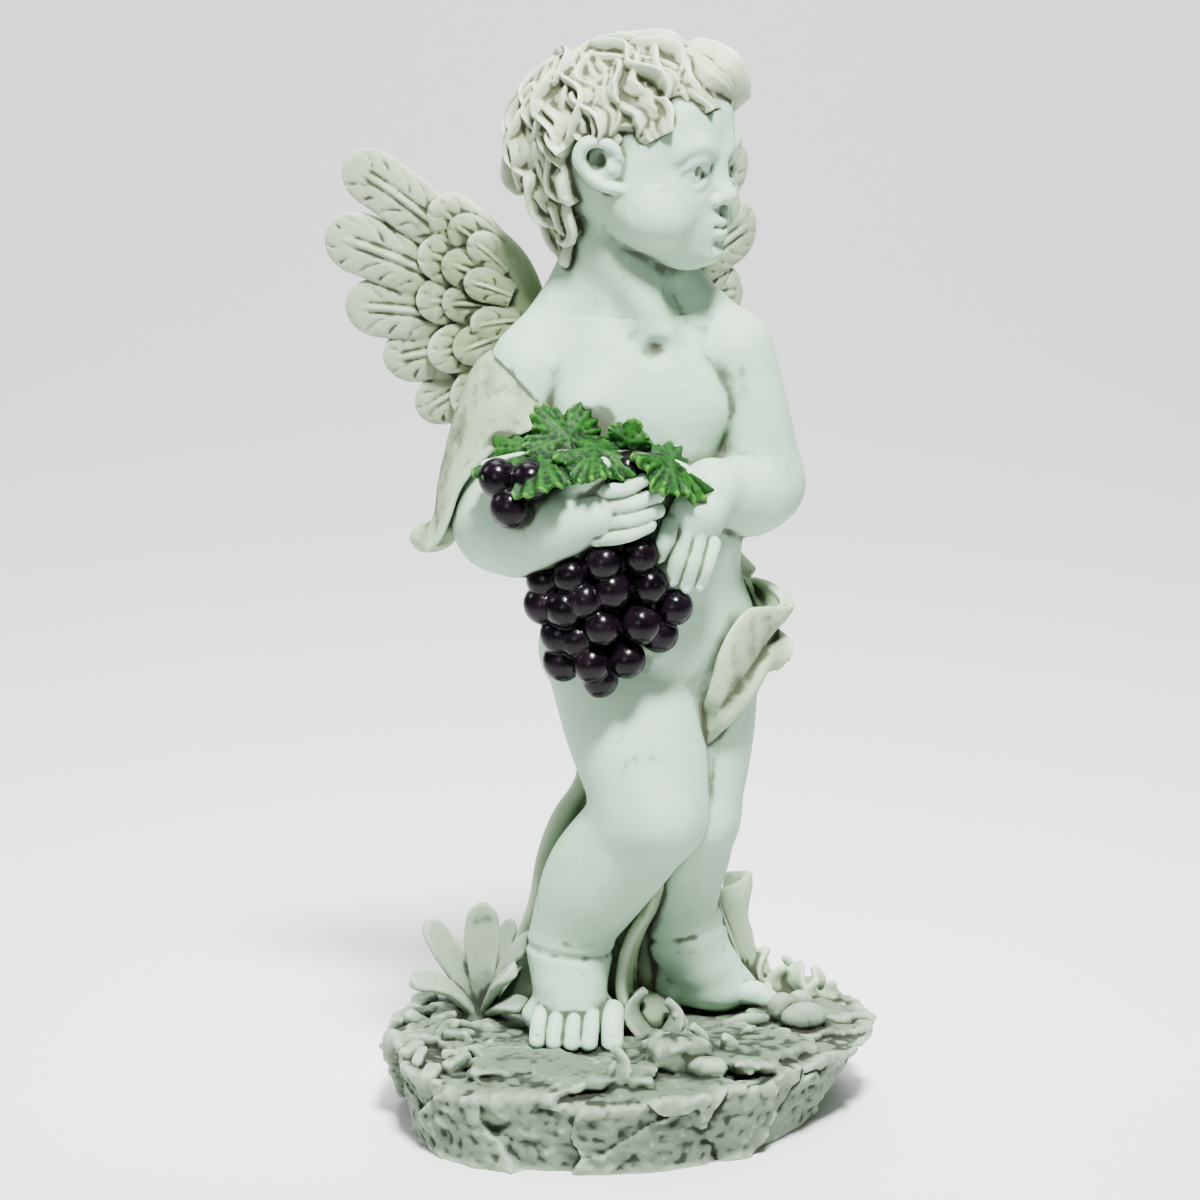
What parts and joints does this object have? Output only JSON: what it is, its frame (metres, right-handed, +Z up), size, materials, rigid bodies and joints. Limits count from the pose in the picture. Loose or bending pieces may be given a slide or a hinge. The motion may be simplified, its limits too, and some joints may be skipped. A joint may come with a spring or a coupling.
{
  "type": "garden figurine",
  "caption": "Standing winged child figurine holding grapes and vine leaves, draped cloth, on a rough rocky base, cast in one piece.",
  "frame": {"origin": "middle of the flat underside of the rocky base", "axes": "+Z up through the standing figure, -Y towards the side the picture was taken from, +X towards the viewer's right"},
  "size_m": [0.2046, 0.1757, 0.4017],
  "materials": {
    "weathered_stone": "matt, pale grey-green cast resin stone with a grey-brown wash in the recesses",
    "painted_grape": "semi-gloss dark purple paint",
    "painted_leaf": "satin green paint with yellow-green veins"
  },
  "bodies": {
    "root": {"angel_figurine": "weathered_stone"}
  },
  "joints": []
}
